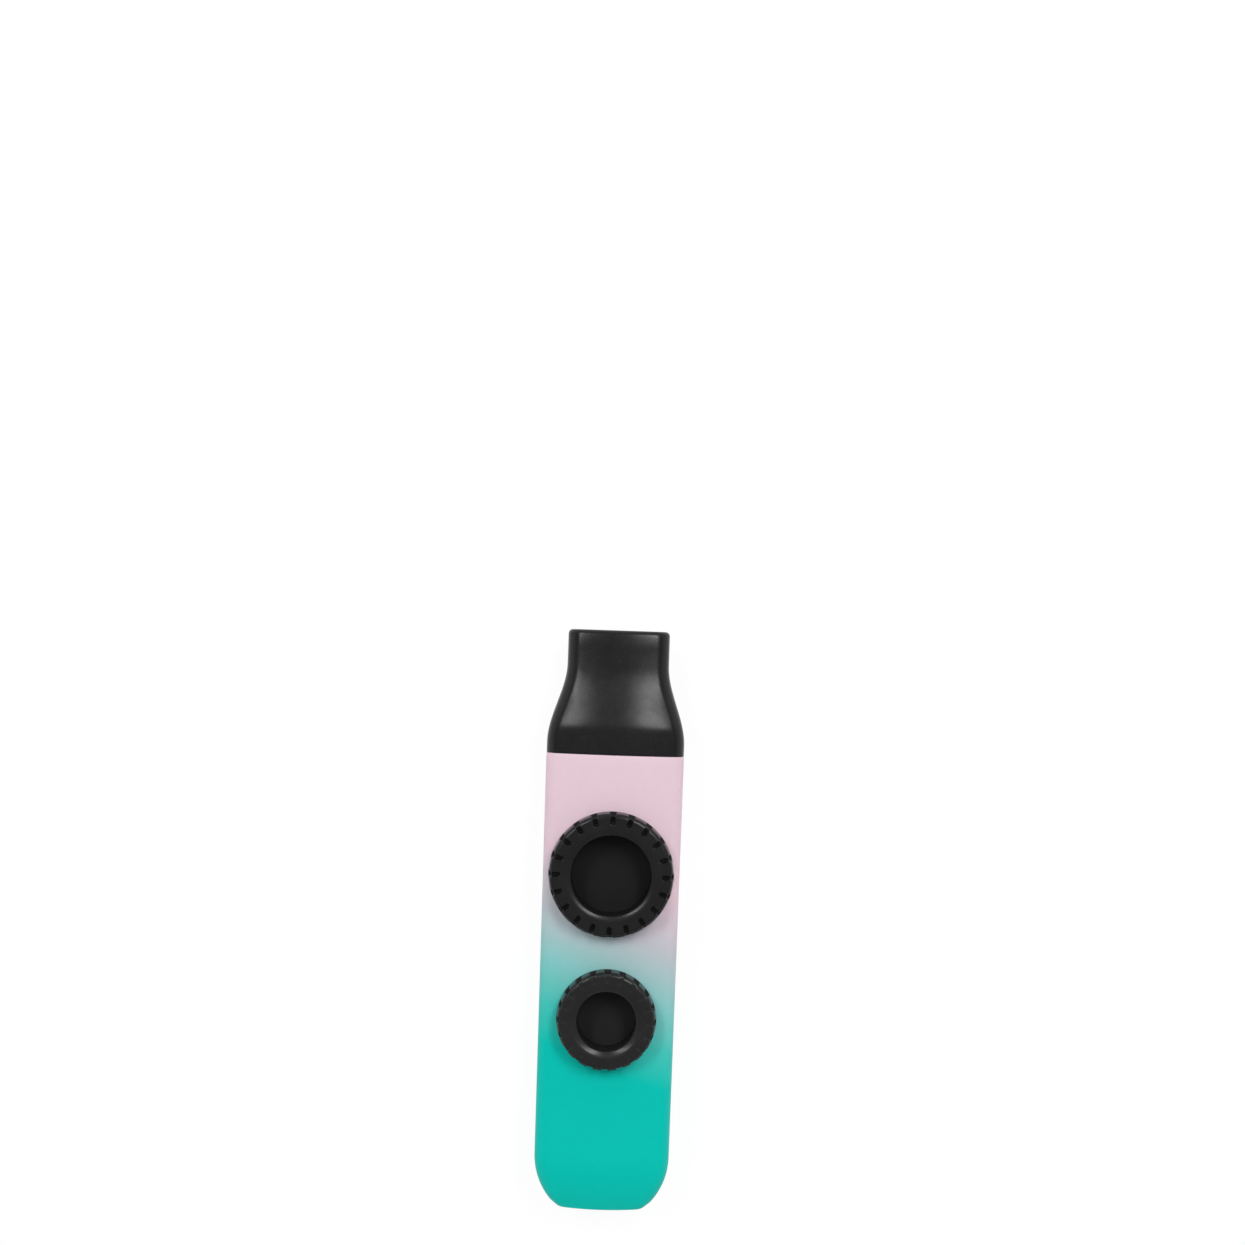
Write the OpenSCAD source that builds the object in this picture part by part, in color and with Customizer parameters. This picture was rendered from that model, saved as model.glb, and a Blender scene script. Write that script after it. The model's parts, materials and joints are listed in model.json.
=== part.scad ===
// Kazoo with two tuning turrets: a long two-shell body, a push-fit mouthpiece and
// two notched screw caps, each holding a stretched membrane down on a soft seat.
// It lies on its back: +X across the body, +Y towards the mouthpiece, +Z out of the front.
// The origin is under the middle of the whole instrument, on the surface it lies on.

/* [Body] */
// Width of the body at the mouthpiece seam
body_w = 32; // [30.5:0.5:40]
// How far each side draws in along the body, from the seam to the start of the far end
body_draw = 0.4; // [0:0.05:0.6]
// Thickness of the body through its middle, back to front
body_t = 18; // [16.5:0.5:24]
// Length of the body from the mouthpiece seam to the far end
body_len = 105.5; // [99:0.1:140]
// Wall of the two moulded shells
wall = 1.8; // [1.4:0.1:2.2]
// Radius of the gentle crown across the front and back faces
crown_r = 60; // [45:1:120]
// Radius where the faces turn into the sides
edge_r = 3.5; // [3:0.1:4.6]
// Least radius of those edges inside the bore
bore_edge_r = 0.5; // [0.3:0.1:0.8]
// Depth of the flat that the crowned back lies on
rest_flat = 0.35; // [0.2:0.05:0.8]
// Small chamfer round the mouth of the body, at the seam
seam_chamfer = 0.3; // [0.1:0.05:0.5]

/* [Far end] */
// Length over which the far end draws in
end_run = 12.4; // [8:0.1:14]
// Radius of the side arcs at the far end, seen from the front
end_r = 16.7; // [14.5:0.1:18]
// How far each face draws in at the far end, seen from the side
end_drop = 3.2; // [1:0.1:3.6]
// How far the end face bulges out in its middle
end_bulge = 0.3; // [0.2:0.1:1.2]
// Width of the sound hole in the far end
hole_w = 12; // [8:0.5:13]
// Height of the sound hole
hole_h = 5.6; // [4:0.1:6]
// How much less than a full half round the sides of the sound hole are
hole_ease = 0.3; // [0.2:0.1:0.5]

/* [Shell joint] */
// Height of the locating lip that the front shell drops into the back shell
lip_h = 1.2; // [0.6:0.1:2]
// Gap between the lip and its rebate
lip_gap = 0.06; // [0.02:0.01:0.1]

/* [Mouthpiece] */
// Length of the mouthpiece from its tip to the seam
mouth_len = 28.75; // [27:0.05:40]
// Width of the tip
tip_w = 23.7; // [20:0.1:27]
// Thickness of the tip
tip_t = 9.6; // [9.2:0.1:11]
// Straight length behind the tip before the flare begins
flare_from = 8; // [4:0.5:10]
// Distance from the tip at which the flare has reached full width
flare_to = 26.2; // [22:0.1:27]
// Rounding of the tip's outer edge
lip_round = 1; // [0.5:0.1:1.4]
// Rounding of the edge of the blow slot
slot_round = 0.5; // [0.2:0.1:0.7]
// How far the mouthpiece stands back from the body's surface at the seam
mouth_back = 0.05; // [0:0.05:0.25]
// Wall of the mouthpiece beside the blow slot
tip_wall = 1.9; // [1.6:0.1:2.1]
// Wall of the spigot that plugs into the body
spigot_wall = 1.5; // [1.2:0.1:1.8]
// Length of the spigot
spigot_len = 8; // [5:0.5:12]
// Gap all round between the spigot and the shells
spigot_gap = 0.06; // [0.02:0.01:0.1]

/* [Large turret] */
// Distance from the mouthpiece tip to the turret's centre
large_from_tip = 56; // [51:0.1:58]
// Outside diameter of the cap
large_cap_d = 28.9; // [28:0.1:30]
// Diameter of the opening in the cap
large_open_d = 18.4; // [16:0.1:19]
// Height of the cap above its seat
large_cap_h = 4; // [3.6:0.1:6]
// Rounding of the edge of the opening
large_lip_r = 0.9; // [0.3:0.1:1.1]
// Radius from the centre to the inner end of the slots
large_slot_in = 11.6; // [10.7:0.1:11.7]
// Depth of the slots in the face
large_slot_deep = 0.9; // [0.3:0.1:1.2]

/* [Small turret] */
// Distance from the mouthpiece tip to the turret's centre
small_from_tip = 89.3; // [86:0.1:95]
// Outside diameter of the cap
small_cap_d = 23; // [22:0.1:25]
// Diameter of the opening in the cap
small_open_d = 13.5; // [11.5:0.1:14]
// Height of the cap above its seat
small_cap_h = 4.2; // [3.6:0.1:5.5]
// Rounding of the edge of the opening
small_lip_r = 1.2; // [0.3:0.1:1.3]
// Radius from the centre to the inner end of the slots
small_slot_in = 8.8; // [8.4:0.1:9.3]
// Depth of the slots in the face
small_slot_deep = 0.3; // [0.2:0.1:1]

/* [Screw caps] */
// Number of slots round each cap
slots = 20; // [12:1:24]
// Width of a slot
slot_w = 1.2; // [0.8:0.1:1.3]
// Depth, under the rounded edge, of the notch that carries each slot down the side
notch_deep = 0.45; // [0.3:0.05:0.6]
// Flare of each side of a notch, as a share of its depth
notch_flare_share = 0.4; // [0.2:0.1:1]
// How much smaller the cap's radius is at its face than at its rim
cap_taper = 0.3; // [0:0.05:0.5]
// Height of the plain rim that is left under the notches
rim_h = 0.5; // [0.3:0.1:0.8]
// Rounding of the cap's outer top edge
cap_round = 1.1; // [0.6:0.1:1.3]
// Chamfer under the cap's outer edge
cap_chamfer = 0.3; // [0.1:0.1:0.5]
// Wall of the threaded sleeve under the cap
sleeve_wall = 1.8; // [1.6:0.1:2.1]
// Gap between the sleeve and the well it screws into
thread_gap = 0.08; // [0.03:0.01:0.1]

/* [Wells] */
// Wall of the well that stands inside the front shell
well_wall = 1.5; // [1.2:0.1:1.6]
// Height of the well's collar above the crown of the front face
collar_h = 0.3; // [0.2:0.05:0.6]
// Depth of the membrane below the collar's top
membrane_deep = 4.3; // [4:0.1:4.8]
// Thickness of the ledge that the stack sits on
ledge_t = 1.2; // [0.8:0.1:1.6]
// Width by which the ledge reaches in past the cap's opening
ledge_in = 0.5; // [0.2:0.1:0.8]

/* [Membranes] */
// Thickness of the stretched film
film_t = 0.1; // [0.08:0.01:0.15]
// Thickness of the stiff hoop bonded to the film
hoop_t = 0.6; // [0.4:0.1:0.8]
// Step between the cap's opening and the hoop
hoop_step = 0.3; // [0.1:0.1:0.5]
// Thickness of the soft seat under the film
seat_t = 0.9; // [0.6:0.1:1.2]
// Gap round the loose rings inside the well
ring_gap = 0.1; // [0.05:0.01:0.2]

/* [Slip washers] */
// Thickness of the washer's flange
washer_t = 0.9; // [0.6:0.1:1]
// Wall of the washer's hub, which snaps up into the cap
hub_wall = 0.7; // [0.5:0.1:0.7]
// Height of the hub above the flange
hub_h = 1.3; // [1:0.1:1.4]
// Height of the snap bead at the top of the hub
bead_h = 0.4; // [0.3:0.1:0.5]
// How far the bead stands out of the hub
bead_out = 0.15; // [0.1:0.05:0.2]
// Gap between a washer and the parts that it slips on
slip_gap = 0.06; // [0.03:0.01:0.1]

/* [Hidden] */
$fn = 96;

black = [0.10, 0.10, 0.11];
satin_black = [0.13, 0.13, 0.14];
film_black = [0.05, 0.05, 0.06];
seat_grey = [0.20, 0.20, 0.22];
front_teal = [0.00, 0.72, 0.67];
back_teal = [0.05, 0.66, 0.62];

// One overrun serves every cut
over = wall;

// Steps round each edge, across each crown, along the far end, along the flare and round a lip
edge_steps = 6;
crown_steps = 8;
end_steps = 10;
flare_steps = 14;
lip_steps = 4;

mid_z = body_t / 2;
full_len = body_len + mouth_len;
tip_y = full_len / 2;
seam_y = tip_y - mouth_len;
far_y = -full_len / 2;
seat_z = body_t + collar_h;
film_top = seat_z - membrane_deep;
end_flat = body_w / 2 - body_draw - inset(end_r, end_run);
straight_len = body_len - end_run - seam_chamfer;
bulge_r = (end_flat * end_flat + end_bulge * end_bulge) / (2 * end_bulge);
drop_r = (end_run * end_run + end_drop * end_drop) / (2 * end_drop);

function smooth(x) = let (c = max(0, min(1, x))) c * c * (3 - 2 * c);
function mix(a, b, share) = a + (b - a) * share;
// How far an arc of radius r has drawn in after running on for a distance s
function inset(r, s) = s <= 0 ? 0 : r - sqrt(max(0, r * r - s * s));

// Half of a crowned section, from the +X side over the crown to the -X side, as [x, height]
// above the middle: a is the half width, h the half thickness, r_c the crown and r_e the edge.
function half_section(a, h, r_c, r_e) =
    let (
        lean = asin((a - r_e) / (r_c - r_e)),
        edge_h = h - r_c + (r_c - r_e) * cos(lean)
    )
    concat(
        [for (i = [0:edge_steps]) let (t = 90 - (90 - lean) * i / edge_steps)
            [a - r_e + r_e * sin(t), edge_h + r_e * cos(t)]],
        [for (i = [1:crown_steps - 1]) let (t = lean - 2 * lean * i / crown_steps)
            [r_c * sin(t), h - r_c + r_c * cos(t)]],
        [for (i = [0:edge_steps]) let (t = -lean - (90 - lean) * i / edge_steps)
            [r_e - a + r_e * sin(t), edge_h + r_e * cos(t)]]
    );

// The same half section run down to the middle at both sides, as it is moulded in one shell
function moulded_half(a, h, r_c, r_e) = concat([[a, 0]], half_section(a, h, r_c, r_e), [[-a, 0]]);

function backwards(list) = [for (i = [len(list) - 1:-1:0]) list[i]];

// Skin over closed rows of points, each joined to the next: the last joins the first where looped,
// and otherwise each end is closed by a strip between the two halves of its row. Its diagonals on
// the -X side mirror those on the +X side. Rows that run the other way round are turned.
module skin(rows, looped, turned = false) {
    n = len(rows[0]);
    count = len(rows);
    half = n / 2;
    joins = looped ? count : count - 1;
    sides = [for (k = [0:joins - 1]) for (i = [0:n - 1])
        let (j = (i + 1) % n, b = k * n, c = ((k + 1) % count) * n)
        each abs(i - half + 1) <= half / 2
            ? [[b + i, c + i, b + j], [b + j, c + i, c + j]]
            : [[b + i, c + j, b + j], [b + i, c + i, c + j]]];
    near_end = [for (i = [0:half - 2]) let (o = n - 1 - i)
        each [[i, i + 1, o], [o, i + 1, o - 1]]];
    far_end = [for (i = [0:half - 2]) let (b = (count - 1) * n, o = b + n - 1 - i)
        each [[b + i + 1, b + i, o], [b + i + 1, o, o - 1]]];
    faces = looped ? sides : concat(sides, near_end, far_end);
    polyhedron(
        points = [for (row = rows) each row],
        faces = turned ? [for (face = faces) backwards(face)] : faces
    );
}

// Half section of the body at a distance s past the start of the far end, drawn in by off all round
// and by draw at its sides
function body_half(s, off, depth, draw) = moulded_half(
    body_w / 2 - draw - off - inset(end_r - off, s),
    body_t / 2 + depth - off - inset(drop_r - off, s),
    crown_r - off, edge_r - off
);

// Half outline of the sound hole
hole_half = moulded_half(hole_w / 2, hole_h / 2, crown_r, hole_h / 2 - hole_ease);

// One row of a shell: its outline outside at y_out, then back along its outline inside at y_in.
// The share of the end face's bulge that the row follows is 0 away from the far end.
function shell_row(y_out, outside, y_in, inside, side, bulge_share = 0) =
    let (
        out = [for (q = outside) [q[0], y_out, q[1]]],
        in = [for (q = backwards(inside)) [q[0], y_in, q[1]]]
    )
    [for (p = concat(out, in))
        [p[0], p[1] + bulge_share * inset(bulge_r, abs(p[0])), max(0, mid_z + side * p[2])]];

// Rows of one shell from the seam to the far end: side is 1 in front and -1 behind
function shell_rows(side) = let (
        depth = side > 0 ? 0 : rest_flat,
        open_run = end_run - wall,
        mouth_in = body_half(0, wall, depth, 0),
        under_chamfer = seam_y - seam_chamfer
    )
    concat(
        [shell_row(seam_y, body_half(0, seam_chamfer, depth, 0), seam_y, mouth_in, side),
            shell_row(under_chamfer, body_half(0, 0, depth, 0), under_chamfer, mouth_in, side)],
        [for (i = [0:end_steps]) let (s = open_run * i / end_steps, y = far_y + end_run - s)
            shell_row(y, body_half(s, 0, depth, body_draw), y, body_half(s, wall, depth, body_draw), side)],
        [shell_row(far_y + wall / 2, body_half(end_run - wall / 2, 0, depth, body_draw), far_y + wall, hole_half, side),
            shell_row(far_y, body_half(end_run, 0, depth, body_draw), far_y, hole_half, side, 1)]
    );

// A bar along both sides at the shell joint, between two depths into the wall, which follows the
// sides as they draw in. It stops short of the seam and of the far end's curve by the wall, less a gap.
module joint_bars(x_out, x_in, z_low, z_high, gap) {
    length = body_len - end_run - 2 * (wall - gap);
    for (side = [0, 1]) mirror([side, 0, 0])
        translate([body_w / 2, seam_y, z_low]) rotate(-atan(body_draw / straight_len))
            translate([-x_in, gap - wall - length, 0]) cube([x_in - x_out, length, z_high - z_low]);
}

// The measures that the two turrets don't share, in the order of the functions that read them
large = [tip_y - large_from_tip, large_cap_d / 2, large_open_d / 2, large_cap_h, large_lip_r,
    large_slot_in, large_slot_deep];
small = [tip_y - small_from_tip, small_cap_d / 2, small_open_d / 2, small_cap_h, small_lip_r,
    small_slot_in, small_slot_deep];
function centre_y(t) = t[0];
function cap_r(t) = t[1];
function open_r(t) = t[2];
function cap_h(t) = t[3];
function lip_r(t) = t[4];
function slot_in(t) = t[5];
function slot_deep(t) = t[6];

function sleeve_r(t) = open_r(t) + sleeve_wall;
function well_r(t) = sleeve_r(t) + thread_gap;
function ring_r(t) = well_r(t) - ring_gap;
ledge_top = film_top - film_t - seat_t;
hoop_top = film_top + hoop_t;
washer_low = hoop_top + slip_gap;
sleeve_low = washer_low + washer_t + slip_gap;

module at_turret(t) {
    translate([0, centre_y(t), 0]) children();
}

module tube(r_out, r_in, z_low, z_high) {
    translate([0, 0, z_low]) difference() {
        cylinder(r = r_out, h = z_high - z_low);
        translate([0, 0, -over]) cylinder(r = r_in, h = z_high - z_low + 2 * over);
    }
}

// Well of one turret: the solid wall that is added to the front shell
module well_wall_solid(t) {
    at_turret(t) translate([0, 0, ledge_top - ledge_t])
        cylinder(r = well_r(t) + well_wall, h = seat_z - ledge_top + ledge_t);
}

// Well of one turret: the stepped bore cut through that wall
module well_bore(t) {
    at_turret(t) {
        translate([0, 0, ledge_top]) cylinder(r = well_r(t), h = seat_z - ledge_top + over);
        translate([0, 0, ledge_top - ledge_t - over])
            cylinder(r = open_r(t) - ledge_in, h = ledge_t + 2 * over);
    }
}

module front_shell() {
    color(front_teal) difference() {
        union() {
            skin(shell_rows(1), false);
            // Locating lip on the inner half of the wall
            joint_bars(wall / 2 + lip_gap, wall - lip_gap, mid_z - lip_h, mid_z + lip_h, 0);
            well_wall_solid(large);
            well_wall_solid(small);
        }
        well_bore(large);
        well_bore(small);
    }
}

module back_shell() {
    color(back_teal) difference() {
        skin(shell_rows(-1), false, true);
        // Rebate for the front shell's lip
        joint_bars(wall / 2, wall + over, mid_z - lip_h - lip_gap, mid_z + over, lip_gap);
    }
}

// Half width and half thickness of the mouthpiece at a distance d from the tip
base_h = body_t / 2 - mouth_back;
function flare(d) = smooth((d - flare_from) / (flare_to - flare_from));
function mouth_a(d) = mix(tip_w / 2, body_w / 2 - mouth_back, flare(d));
function mouth_h(d, low) = mix(tip_t / 2, base_h + low, flare(d));

// A whole section at y, with its own half thickness in front and behind
function section(y, a, h_front, h_back, r_c, r_e) = concat(
    [for (p = half_section(a, h_front, r_c, r_e)) [p[0], y, mid_z + p[1]]],
    [for (p = half_section(a, h_back, r_c, r_e)) [-p[0], y, max(0, mid_z - p[1])]]
);

// Section of the mouthpiece at a distance d from the tip, drawn in by off all round
function mouth_section(d, off) = section(
    tip_y - d, mouth_a(d) - off, mouth_h(d, 0) - off, mouth_h(d, rest_flat) - off,
    crown_r - off, max(edge_r - off, bore_edge_r)
);

// Section of the spigot at y, which follows the inside of the body
function spigot_section(y, off) = let (
        in = wall + spigot_gap + off,
        draw = body_draw * max(0, seam_y - seam_chamfer - y) / straight_len
    )
    section(
        y, body_w / 2 - draw - in, body_t / 2 - in, body_t / 2 + rest_flat - in,
        crown_r - in, max(edge_r - in, bore_edge_r)
    );

// Extra inset round the last stretch of a rounded edge of radius r, at a distance d from its end
function edge_inset(r, d) = r - sqrt(max(0, r * r - (r - d) * (r - d)));

// Distance from the end of a rounded edge at step i of lip_steps
function edge_run(r, i) = r * (1 - cos(90 * i / lip_steps));

module mouthpiece() {
    // Along the outside from the tip to the end of the spigot
    outside = concat(
        [for (i = [0:lip_steps]) let (d = edge_run(lip_round, i)) mouth_section(d, edge_inset(lip_round, d))],
        [for (i = [1:flare_steps]) mouth_section(mix(lip_round, mouth_len, i / flare_steps), 0)],
        [spigot_section(seam_y, 0),
            spigot_section(seam_y - spigot_len + slot_round, 0),
            spigot_section(seam_y - spigot_len, slot_round)]
    );
    // Along the inside, from the blow slot to the end of the spigot
    bore_wall = wall + spigot_gap + spigot_wall - mouth_back;
    inside = concat(
        [for (i = [0:lip_steps]) let (d = edge_run(slot_round, i))
            mouth_section(d, tip_wall - edge_inset(slot_round, d))],
        [for (i = [1:flare_steps]) let (d = mix(slot_round, mouth_len, i / flare_steps))
            mouth_section(d, mix(tip_wall, bore_wall, flare(d)))],
        [spigot_section(seam_y - spigot_len, spigot_wall)]
    );
    color(satin_black) skin(concat(outside, backwards(inside)), true);
}

// Outline of a cap from its axis outwards: a broad face, a rounded rim and the sleeve below
module cap_outline(t) {
    top = seat_z + cap_h(t);
    counter_r = open_r(t) + hub_wall + slip_gap;
    side_h = cap_h(t) - rim_h;
    lean = atan(cap_taper / side_h);
    round_x = cap_r(t) - cap_round / cos(lean) - (side_h - cap_round) * tan(lean);
    reach = 2 * (cap_round + over);
    difference() {
        union() {
            polygon([[open_r(t), seat_z], [cap_r(t), seat_z], [cap_r(t), seat_z + rim_h],
                [cap_r(t) - cap_taper, top], [open_r(t), top]]);
            translate([open_r(t), sleeve_low]) square([sleeve_wall, seat_z - sleeve_low + cap_chamfer]);
        }
        // Rounded outer edge
        translate([round_x, top - cap_round]) difference() {
            polygon([[0, 0], [reach, reach * tan(lean)], [reach, reach], [0, reach]]);
            circle(r = cap_round);
        }
        // Rounded edge of the opening
        translate([open_r(t) + lip_r(t), top - lip_r(t)]) difference() {
            translate([-lip_r(t) - over, 0]) square(lip_r(t) + over);
            circle(r = lip_r(t));
        }
        // Chamfer under the rim
        translate([cap_r(t), seat_z]) rotate(45) square(cap_chamfer * sqrt(2), center = true);
        // Counterbore that takes the slip washer's hub, with a groove for its bead
        translate([open_r(t) - over, sleeve_low - over]) square([over + hub_wall + slip_gap, over + hub_h]);
        translate([counter_r - over, washer_low + washer_t + hub_h - bead_h - slip_gap])
            square([over + bead_out, bead_h + 2 * slip_gap]);
    }
}

// One slot: a round-ended cut in the face that runs on down the side as a flared notch
module cap_slot(t) {
    top = seat_z + cap_h(t);
    half = slot_w / 2;
    notch_in = cap_r(t) - cap_taper - notch_deep;
    notch_out = cap_r(t) + over;
    wide = half + notch_flare_share * (notch_out - notch_in);
    translate([slot_in(t) + half, 0, top - slot_deep(t)])
        cylinder(d = slot_w, h = slot_deep(t) + over, $fn = 24);
    translate([slot_in(t) + half, -half, top - slot_deep(t)]) cube([cap_r(t), slot_w, slot_deep(t) + over]);
    translate([0, 0, seat_z + rim_h]) linear_extrude(cap_h(t))
        polygon([[notch_in, -half], [notch_in, half], [notch_out, wide], [notch_out, -wide]]);
}

module cap(t) {
    color(black) at_turret(t) difference() {
        rotate_extrude() cap_outline(t);
        for (i = [0:slots - 1]) rotate(90 + i * 360 / slots) cap_slot(t);
    }
}

// Washer that stays still while the cap turns, with a hub that snaps up into the cap
module slip_washer(t) {
    hub_r = open_r(t) + hub_wall;
    hub_top = washer_low + washer_t + hub_h;
    color(satin_black) at_turret(t) union() {
        tube(ring_r(t), open_r(t), washer_low, washer_low + washer_t);
        tube(hub_r, open_r(t), washer_low, hub_top - slip_gap);
        tube(hub_r + bead_out, open_r(t), hub_top - bead_h, hub_top - slip_gap);
    }
}

module hoop(t) {
    color(black) at_turret(t) tube(ring_r(t), open_r(t) + hoop_step, film_top, hoop_top);
}

module film(t) {
    color(film_black) at_turret(t) translate([0, 0, film_top - film_t]) cylinder(r = ring_r(t), h = film_t);
}

module seat(t) {
    color(seat_grey) at_turret(t) tube(ring_r(t), open_r(t), ledge_top, film_top - film_t);
}

front_shell();
back_shell();
mouthpiece();
cap(large);  // large_cap
slip_washer(large);  // large_slip_washer
hoop(large);  // large_hoop
film(large);  // large_film
seat(large);  // large_seat
cap(small);  // small_cap
slip_washer(small);  // small_slip_washer
hoop(small);  // small_hoop
film(small);  // small_film
seat(small);  // small_seat
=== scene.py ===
import json
import math
import bmesh
import bpy
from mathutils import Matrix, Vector


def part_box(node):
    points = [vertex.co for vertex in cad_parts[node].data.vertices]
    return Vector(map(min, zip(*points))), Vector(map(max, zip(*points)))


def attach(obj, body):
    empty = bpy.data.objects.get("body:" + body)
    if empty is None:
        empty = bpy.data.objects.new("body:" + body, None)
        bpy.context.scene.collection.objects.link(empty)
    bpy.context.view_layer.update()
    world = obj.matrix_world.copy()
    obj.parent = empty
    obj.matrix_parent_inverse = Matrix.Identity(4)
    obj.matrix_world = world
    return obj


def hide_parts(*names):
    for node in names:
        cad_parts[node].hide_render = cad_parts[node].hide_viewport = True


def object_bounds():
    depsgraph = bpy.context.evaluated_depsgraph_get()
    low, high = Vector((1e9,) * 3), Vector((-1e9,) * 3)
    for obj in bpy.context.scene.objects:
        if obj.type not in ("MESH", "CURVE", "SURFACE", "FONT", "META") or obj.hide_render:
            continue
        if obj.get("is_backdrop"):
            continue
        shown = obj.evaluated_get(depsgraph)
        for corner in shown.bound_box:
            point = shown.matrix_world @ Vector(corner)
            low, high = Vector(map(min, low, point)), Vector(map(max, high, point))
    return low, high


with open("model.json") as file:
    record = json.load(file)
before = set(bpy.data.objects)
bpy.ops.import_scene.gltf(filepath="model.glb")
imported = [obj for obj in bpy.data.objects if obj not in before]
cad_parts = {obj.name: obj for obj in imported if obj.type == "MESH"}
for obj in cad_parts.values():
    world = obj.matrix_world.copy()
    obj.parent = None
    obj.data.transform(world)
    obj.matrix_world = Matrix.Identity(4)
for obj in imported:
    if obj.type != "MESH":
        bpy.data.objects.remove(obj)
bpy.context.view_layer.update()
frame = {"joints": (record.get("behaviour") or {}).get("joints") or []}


# Back shell: the lower half of the body, moulded in black plastic and sprayed outside with a soft
# satin lacquer. The kazoo lies on the narrow flat along its crowned back, and a rebate along its
# sides takes the front shell's lip, where the two are welded.
mm = 0.001
back_low, back_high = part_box("back_shell")
body_a = back_high.x
mid_z = back_high.z
seam_y = back_high.y
far_y = back_low.y
wall = 1.8 * mm
body_draw = 0.4 * mm
crown_r = 60 * mm
edge_r = 3.5 * mm
bore_edge_r = 0.5 * mm
rest_flat = 0.35 * mm
seam_round = 0.3 * mm
end_run = 12.4 * mm
end_r = 16.7 * mm
end_drop = 3.2 * mm
end_bulge = 0.3 * mm
end_ease = 0.1 * mm
end_edge_r = 2.3 * mm
end_edge_late = 3
hole_a = 6 * mm
hole_h = 2.8 * mm
hole_edge_r = 2.5 * mm
lip_h = 1.2 * mm
lip_gap = 0.06 * mm
lip_end = 0.02 * mm
weld_ease = 0.12 * mm
merge = 0.0005 * mm
edge_steps = 12
crown_steps = 18
end_rows = 20
ease_rows = 4
straight_rows = 8
crisp_from = 40


def mix(a, b, share):
    """The value a share of the way from a to b"""
    return a + (b - a) * share


def inset(r, run):
    """How far an arc of radius r has drawn in after it has run on for a distance"""
    return r - math.sqrt(max(0, r * r - run * run)) if run > 0 else 0


def half_section(a, h, r_c, r_e):
    """Half of a crowned section as (x, height), from its +X side over the crown to its -X side"""
    lean = math.asin((a - r_e) / (r_c - r_e))
    edge_z = h - r_c + (r_c - r_e) * math.cos(lean)
    right = []
    for i in range(edge_steps + 1):
        turn = mix(math.pi / 2, lean, i / edge_steps)
        right.append((a - r_e + r_e * math.sin(turn), edge_z + r_e * math.cos(turn)))
    crown = []
    for i in range(1, crown_steps):
        turn = mix(lean, -lean, i / crown_steps)
        crown.append((r_c * math.sin(turn), h - r_c + r_c * math.cos(turn)))
    return right + crown + [(-x, z) for x, z in reversed(right)]


def draw_at(y):
    """How far each side of the body has drawn in at y, from the seam to the start of the far end"""
    length = seam_y - seam_round - far_y - end_run
    return body_draw * min(1, max(0, (seam_y - seam_round - y) / length))


def body_half(y, off, depth):
    """Half section of the body at y, drawn in by off all round"""
    run = far_y + end_run - y
    drop_r = (end_run ** 2 + end_drop ** 2) / (2 * end_drop)
    a = body_a - draw_at(y) - off - inset(end_r - off, run)
    h = mid_z + depth - off - inset(drop_r - off, run)
    edge = mix(edge_r, end_edge_r, (max(0, run) / end_run) ** end_edge_late)
    return half_section(a, h, crown_r - off, max(edge - off, bore_edge_r))


def hole_half(off):
    """Half section of the sound hole, opened by off all round"""
    return half_section(hole_a + off, hole_h + off, crown_r, hole_edge_r + off)


def shell_row(y_out, outside, y_in, inside, side, lip=0, bulge=0):
    """One closed row of a shell: outside over the crown, across one weld edge, back inside, and
    across the other. The front shell, side 1, has the lip and the back shell, side -1, the rebate."""
    a_out, a_in = outside[0][0], inside[0][0]
    near, half = mix(a_in, a_out, lip_gap / wall), mix(a_in, a_out, 0.5)
    far = mix(a_in, a_out, 0.5 - lip_gap / wall)
    if side > 0:
        weld = [(a_in, 0), (near, 0), (near, -lip_h * lip), (far, -lip_h * lip), (far, 0)]
    else:
        deep = (lip_h + lip_gap) * lip
        weld = [(a_in, deep), (half, deep), (half, 0)]
    weld.append((a_out - weld_ease, 0))
    outer = [(a_out, weld_ease)] + outside + [(-a_out, weld_ease)]
    outer_count = len(outer)
    across = outer + [(-x, z) for x, z in reversed(weld)] + inside[::-1] + weld
    end_flat = body_a - body_draw - inset(end_r, end_run)
    bulge_r = (end_flat ** 2 + end_bulge ** 2) / (2 * end_bulge)
    row = []
    for i, (x, z) in enumerate(across):
        y = y_out if i < outer_count else y_in
        row.append((x, y + bulge * inset(bulge_r, abs(x)), max(0, mid_z + side * z)))
    return row


def shell_rows(side):
    """The rows of one shell from the seam to the far end"""
    depth = 0 if side > 0 else rest_flat
    rows = []

    def add(y, off=0, lip=0):
        rows.append(shell_row(y, body_half(y, off, depth), y, body_half(y, wall, depth), side, lip))

    for i in range(ease_rows + 1):
        turn = math.pi / 2 * (1 - i / ease_rows)
        add(seam_y - seam_round * (1 - math.sin(turn)), seam_round * (1 - math.cos(turn)))
    first, last = seam_y - wall, far_y + end_run + wall
    add(first)
    for i in range(straight_rows + 1):
        add(mix(first - lip_end, last + lip_end, i / straight_rows), lip=1)
    add(last)
    for i in range(end_rows + 1):
        add(far_y + mix(end_run, wall, i / end_rows))
    for i in range(ease_rows + 1):
        share = i / ease_rows
        y = far_y + mix(wall, end_ease, share)
        rows.append(shell_row(y, body_half(y, 0, depth), y, hole_half(0), side, bulge=share))
    for i in range(1, ease_rows + 1):
        turn = math.pi / 2 * i / ease_rows
        y = far_y + end_ease * (1 - math.sin(turn))
        off = end_ease * (1 - math.cos(turn))
        rows.append(shell_row(y, body_half(y, off, depth), y, hole_half(off), side, bulge=1))
    return rows


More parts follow.
